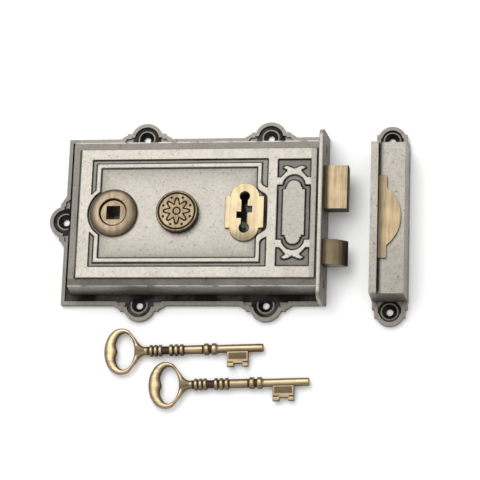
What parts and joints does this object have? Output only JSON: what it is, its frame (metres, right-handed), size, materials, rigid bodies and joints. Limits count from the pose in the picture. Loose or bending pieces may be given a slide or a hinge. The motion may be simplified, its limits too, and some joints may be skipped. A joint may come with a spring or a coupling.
{
  "type": "rim lock",
  "caption": "Cast rim lock with a thrown dead bolt and a sprung latch, its box keep and its keys, laid on the bench beside it.",
  "frame": {"origin": "centre of the four fixing screws, in the plane of the door face", "axes": "+X out of the forend along the bolts, +Z out of the case's face into the room, +Y from the latch bolt to the dead bolt"},
  "size_m": [0.2143, 0.1729, 0.0259],
  "materials": {
    "cast_pewter": "cast grain with a pewter-coloured patina, dark in the recesses",
    "antique_brass": "satin antique brass, browned in the hollows",
    "lever_brass": "stamped sheet brass",
    "steel": "plain machined steel, a little dull",
    "spring_steel": "blued spring steel"
  },
  "bodies": {
    "lock": {"case_casting": "cast_pewter", "forend": "cast_pewter", "forend_screws": "steel", "back_plate": "steel", "cap_screws": "steel", "rose": "antique_brass", "badge": "antique_brass", "badge_stud": "steel", "escutcheon": "antique_brass", "escutcheon_studs": "steel", "bolt_guide": "steel", "spring_stop": "steel", "latch_guides": "steel", "latch_spring": "spring_steel", "lever_post": "steel", "lever_spring_1": "spring_steel", "lever_spring_2": "spring_steel", "lever_spring_3": "spring_steel"},
    "dead_bolt": {"dead_bolt": "antique_brass", "bolt_stump": "steel"},
    "latch": {"latch_bolt": "antique_brass", "latch_tail": "steel"},
    "follower": {"follower": "antique_brass"},
    "lever_1": {"lever_1": "lever_brass"},
    "lever_2": {"lever_2": "lever_brass"},
    "lever_3": {"lever_3": "lever_brass"},
    "keep": {"keep_casting": "cast_pewter", "keep_strike": "antique_brass", "keep_strike_studs": "steel"},
    "key_1": {"key_1": "antique_brass"},
    "key_2": {"key_2": "antique_brass"}
  },
  "joints": [
    {"name": "dead_bolt_throw", "type": "slide", "parent": "lock", "child": "dead_bolt", "axis": [1, 0, 0], "range_m": [-0.014, 0]},
    {"name": "latch_slide", "type": "slide", "parent": "lock", "child": "latch", "axis": [1, 0, 0], "range_m": [-0.01335, 0], "stiffness_N_per_m": 40, "springref_m": 0.004, "deforming": ["latch_spring"]},
    {"name": "follower_turn", "type": "hinge", "parent": "lock", "child": "follower", "pos_m": [-0.0515, 0, 0], "axis": [0, 0, -1], "range_deg": [0, 36.5]},
    {"name": "lever_1_lift", "type": "hinge", "parent": "lock", "child": "lever_1", "pos_m": [-0.018, 0.027, 0], "axis": [0, 0, 1], "range_deg": [0, 2.5], "stiffness_Nm_per_rad": 0.05, "springref_deg": -5.73, "deforming": ["lever_spring_1"]},
    {"name": "lever_2_lift", "type": "hinge", "parent": "lock", "child": "lever_2", "pos_m": [-0.018, 0.027, 0], "axis": [0, 0, 1], "range_deg": [0, 2.5], "stiffness_Nm_per_rad": 0.05, "springref_deg": -5.73, "deforming": ["lever_spring_2"]},
    {"name": "lever_3_lift", "type": "hinge", "parent": "lock", "child": "lever_3", "pos_m": [-0.018, 0.027, 0], "axis": [0, 0, 1], "range_deg": [0, 2.5], "stiffness_Nm_per_rad": 0.05, "springref_deg": -5.73, "deforming": ["lever_spring_3"]},
    {"name": "keep_approach", "type": "slide", "parent": "lock", "child": "keep", "axis": [1, 0, 0], "range_m": [-0.023, 0]},
    {"name": "key_1_lift", "type": "slide", "parent": "lock", "child": "key_1", "axis": [0, 0, 1], "range_m": [0, 0.03]},
    {"name": "key_2_lift", "type": "slide", "parent": "lock", "child": "key_2", "axis": [0, 0, 1], "range_m": [0, 0.03]}
  ],
  "couplings": [
    {"joint": "follower_turn", "follows": "latch_slide", "rad_per_m": -47.62}
  ]
}
